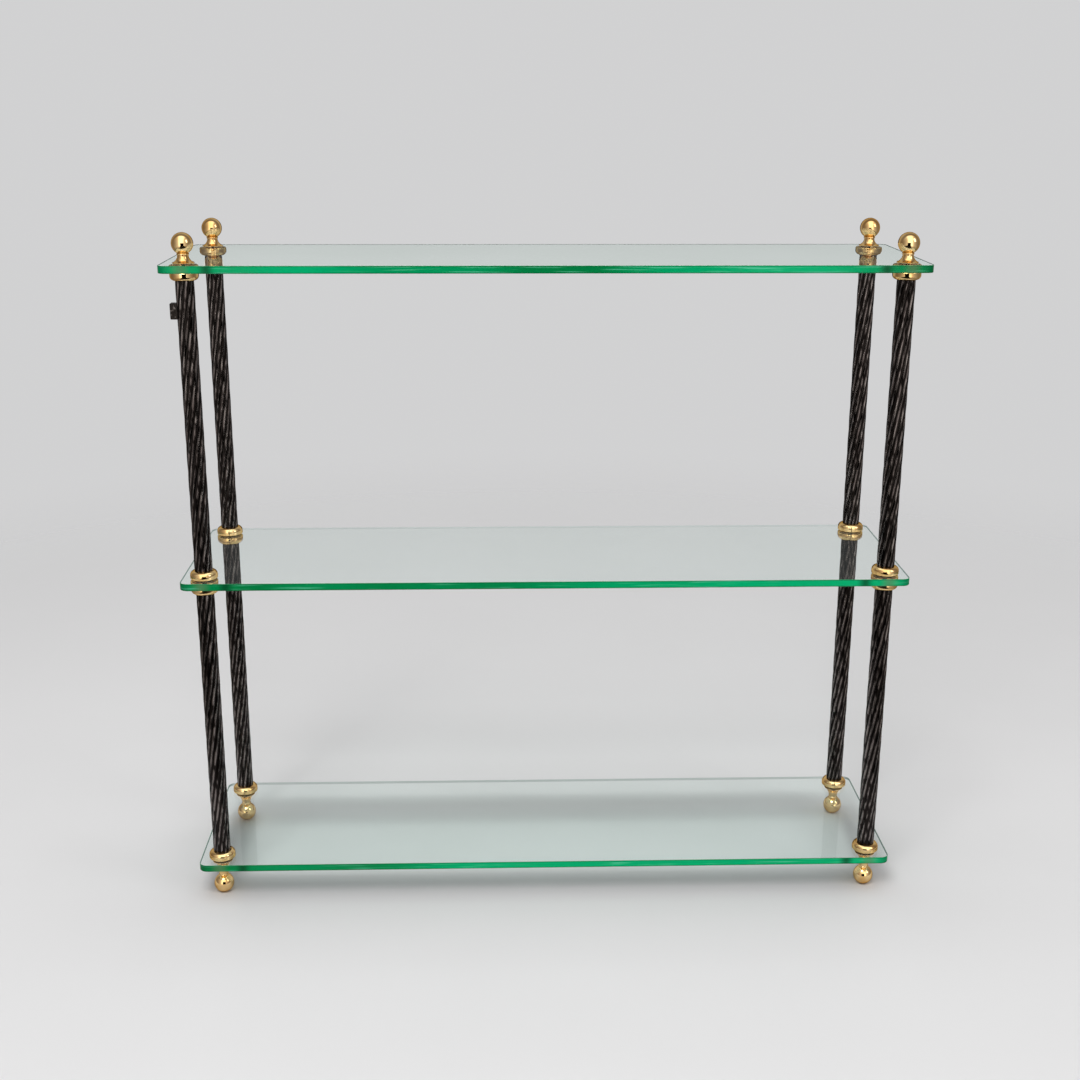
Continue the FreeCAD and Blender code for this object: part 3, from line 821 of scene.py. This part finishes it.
class ETAGERE_OT_stage(bpy.types.Operator):
    """Set up the floor, the soft light and the camera"""
    bl_idname = "etagere.stage"
    bl_label = "Stage"

    def make_floor(self, look):
        """A disc that faces up."""
        bm = bmesh.new()
        bmesh.ops.create_circle(bm, cap_ends=True, segments=FLOOR_STEPS, radius=look.floor_far)
        for face in bm.faces:
            face.normal_update()
            if face.normal.z < 0:
                face.normal_flip()
        floor = new_object("floor", bm, [pale_floor(look)])

    def make_flag(self, look):
        """A dark card just behind and under the camera, which shows only in the polished brass."""
        middle = (look.camera_place.x, look.camera_place.y - look.flag_offset, look.flag_height / 2)
        upright = Matrix.Rotation(math.pi / 2, 4, "X")
        extent = Matrix.Diagonal((look.flag_width, look.flag_height, 1, 1))
        bm = bmesh.new()
        bmesh.ops.create_grid(bm, x_segments=1, y_segments=1, size=0.5,
                              matrix=Matrix.Translation(middle) @ upright @ extent)
        flag = new_object("flag", bm, [dark_card(look)])
        for ray in ("camera", "diffuse", "transmission", "shadow"):
            setattr(flag, f"visible_{ray}", False)

    def make_lamp(self, look, lamp, target, in_shine):
        """An area lamp, which shows in shiny surfaces or only lights the part."""
        light = bpy.data.lights.new(f"{lamp}_lamp", "AREA")
        light.shape = "RECTANGLE"
        light.size = getattr(look, f"{lamp}_width")
        light.size_y = getattr(look, f"{lamp}_depth")
        light.energy = getattr(look, f"{lamp}_power")
        holder = bpy.data.objects.new(f"{lamp}_lamp", light)
        holder.visible_glossy = in_shine
        holder.location = getattr(look, f"{lamp}_place")
        holder.rotation_euler = (target - holder.location).to_track_quat("-Z", "Y").to_euler()
        bpy.context.scene.collection.objects.link(holder)

    def mirrored_room(self, tree, look, parts):
        """What shiny surfaces mirror: a bright front with dimmer sides, and a pale rear, dark low down."""
        rearward = parts["Y"]
        sideways = calculate(tree, "ABSOLUTE", parts["X"])
        front = ramp(tree, sideways, (0.3, look.shine_middle), (0.55, look.shine_front),
                     (0.8, look.shine_sides), (1.0, look.shine_rims))
        inwards = spread(tree, rearward, between=(0.3, 0.8))
        rear = mixed_colour(tree, inwards, look.shine_rims, look.shine_rear)
        low_down = calculate(tree, "MULTIPLY", spread(tree, rearward, between=(0.85, 0.95)),
                             spread(tree, parts["Z"], between=(0.14, 0.28), gives=(1, 0)))
        rear = mixed_colour(tree, low_down, rear, look.shine_low)
        return mixed_colour(tree, spread(tree, rearward, between=(-0.2, 0.1)), front, rear)

    def make_world(self, look):
        """Pale surroundings, which differ for what lights the part, what it mirrors and what its glass shows.

        They change with the parts of a direction of length 1: its share to the right, to the rear and up.
        """
        world = bpy.data.worlds.new("studio")
        world.use_nodes = True
        tree = world.node_tree
        tree.nodes.clear()
        parts = parts_of(tree, add_node(tree, "ShaderNodeTexCoord").outputs["Generated"])
        rearward = parts["Y"]
        around = mixed_colour(tree, spread(tree, rearward, between=(-0.5, 0.25)), look.room, look.backdrop)
        lit = mixed_colour(tree, mirrored(tree), around, self.mirrored_room(tree, look, parts))
        level = spread(tree, calculate(tree, "ABSOLUTE", parts["Z"]), between=(0.16, 0.22), gives=(1, 0))
        slanting = calculate(tree, "MULTIPLY", level, spread(tree, rearward, between=(0.5, 0.8)))
        through = mixed_colour(tree, slanting, look.backdrop, look.slant_backdrop)
        path = light_path(tree)
        shown = mixed_colour(tree, path["Is Transmission Ray"], lit, through)
        shown = mixed_colour(tree, path["Is Camera Ray"], shown, look.backdrop)
        background = add_node(tree, "ShaderNodeBackground", {"Color": shown}).outputs["Background"]
        add_node(tree, "ShaderNodeOutputWorld", {"Surface": background})
        bpy.context.scene.world = world

    def make_camera(self, look):
        """A camera at its place, turned by its yaw, pitch and roll."""
        camera = bpy.data.cameras.new("camera")
        camera.lens = look.camera_lens
        holder = bpy.data.objects.new("camera", camera)
        turn = (Matrix.Rotation(look.camera_yaw, 4, "Z")
                @ Matrix.Rotation(math.pi / 2 - look.camera_pitch, 4, "X")
                @ Matrix.Rotation(look.camera_roll, 4, "Z"))
        holder.matrix_world = Matrix.Translation(look.camera_place) @ turn
        bpy.context.scene.collection.objects.link(holder)
        bpy.context.scene.camera = holder

    def execute(self, context):
        look = context.scene.etagere_stage
        middle = sum(CAD_BOX, Vector()) / 2
        self.make_floor(look)
        self.make_flag(look)
        for lamp, in_shine in LAMPS_IN_SHINE.items():
            self.make_lamp(look, lamp, middle, in_shine)
        self.make_world(look)
        self.make_camera(look)
        context.scene.view_settings.view_transform = "Standard"
        return {"FINISHED"}


PIECES = (
    ETAGERE_OT_glass_shelves,
    ETAGERE_OT_spiral_columns,
    ETAGERE_OT_cup_collars,
    ETAGERE_OT_ball_finials,
    ETAGERE_OT_ball_feet,
    ETAGERE_OT_small_fittings,
    ETAGERE_OT_stage,
)
LOOKS = {
    "etagere_glass": GlassLook,
    "etagere_brass": BrassLook,
    "etagere_column": ColumnLook,
    "etagere_fitting": FittingLook,
    "etagere_stage": StageLook,
}


class ETAGERE_PT_pieces(bpy.types.Panel):
    """The etagere's looks and the operators that build them"""
    bl_idname = "ETAGERE_PT_pieces"
    bl_label = "Etagere"
    bl_space_type = "VIEW_3D"
    bl_region_type = "UI"
    bl_category = "Etagere"

    def draw(self, context):
        for name, look in LOOKS.items():
            box = self.layout.box()
            box.label(text=look.__doc__)
            for setting in look.__annotations__:
                box.prop(getattr(context.scene, name), setting)
        for piece in PIECES:
            self.layout.operator(piece.bl_idname)


CLASSES = (*LOOKS.values(), *PIECES, ETAGERE_PT_pieces)


def register():
    for item in CLASSES:
        bpy.utils.register_class(item)
    for name, look in LOOKS.items():
        setattr(bpy.types.Scene, name, PointerProperty(type=look))


def unregister():
    for name in LOOKS:
        delattr(bpy.types.Scene, name)
    for item in reversed(CLASSES):
        bpy.utils.unregister_class(item)


def main():
    register()
    bpy.ops.etagere.glass_shelves()
    bpy.ops.etagere.spiral_columns()
    bpy.ops.etagere.cup_collars()
    bpy.ops.etagere.ball_finials()
    bpy.ops.etagere.ball_feet()
    bpy.ops.etagere.small_fittings()
    bpy.ops.etagere.stage()


if __name__ == "__main__":
    main()
